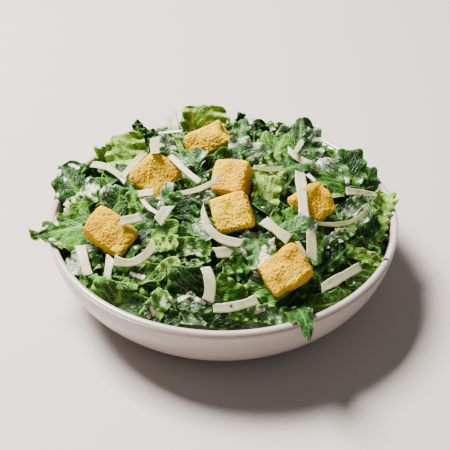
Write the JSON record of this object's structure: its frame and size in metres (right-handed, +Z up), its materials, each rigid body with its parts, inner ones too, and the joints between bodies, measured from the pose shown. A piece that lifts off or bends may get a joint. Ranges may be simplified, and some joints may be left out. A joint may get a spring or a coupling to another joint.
{
  "type": "caesar salad in a bowl",
  "caption": "Round white bowl heaped with dressed romaine leaves, large toasted croutons and shavings of hard cheese, to set on a dining or kitchen table.",
  "frame": {"origin": "centre of the bowl's flat foot", "axes": "+Z up out of the bowl, +Y away from the diner, +X to the diner's right"},
  "size_m": [0.2254, 0.2251, 0.1008],
  "materials": {
    "glaze": "smooth off-white glaze",
    "leaf": "fresh green leaves, paler at the ribs and margins, wet with a thin cream dressing",
    "toast": "open golden crumb, browner at the edges",
    "cheese": "cream-coloured hard cheese, slightly waxy"
  },
  "bodies": {
    "root": {"bowl": "glaze", "romaine_heap": "leaf", "crouton_1": "toast", "crouton_2": "toast", "crouton_3": "toast", "crouton_4": "toast", "crouton_5": "toast", "crouton_6": "toast", "crouton_7": "toast", "shaving_1": "cheese", "shaving_2": "cheese", "shaving_3": "cheese", "shaving_4": "cheese", "shaving_5": "cheese", "shaving_6": "cheese", "shaving_7": "cheese", "shaving_8": "cheese", "shaving_9": "cheese", "shaving_10": "cheese", "shaving_11": "cheese", "shaving_12": "cheese", "shaving_13": "cheese", "shaving_14": "cheese", "shaving_15": "cheese", "shaving_16": "cheese", "shaving_17": "cheese", "shaving_18": "cheese", "shaving_19": "cheese", "shaving_20": "cheese", "shaving_21": "cheese", "shaving_22": "cheese", "shaving_23": "cheese", "shaving_24": "cheese", "shaving_25": "cheese", "shaving_26": "cheese", "shaving_27": "cheese", "shaving_28": "cheese", "shaving_29": "cheese", "shaving_30": "cheese", "shaving_31": "cheese", "shaving_32": "cheese"}
  },
  "joints": []
}
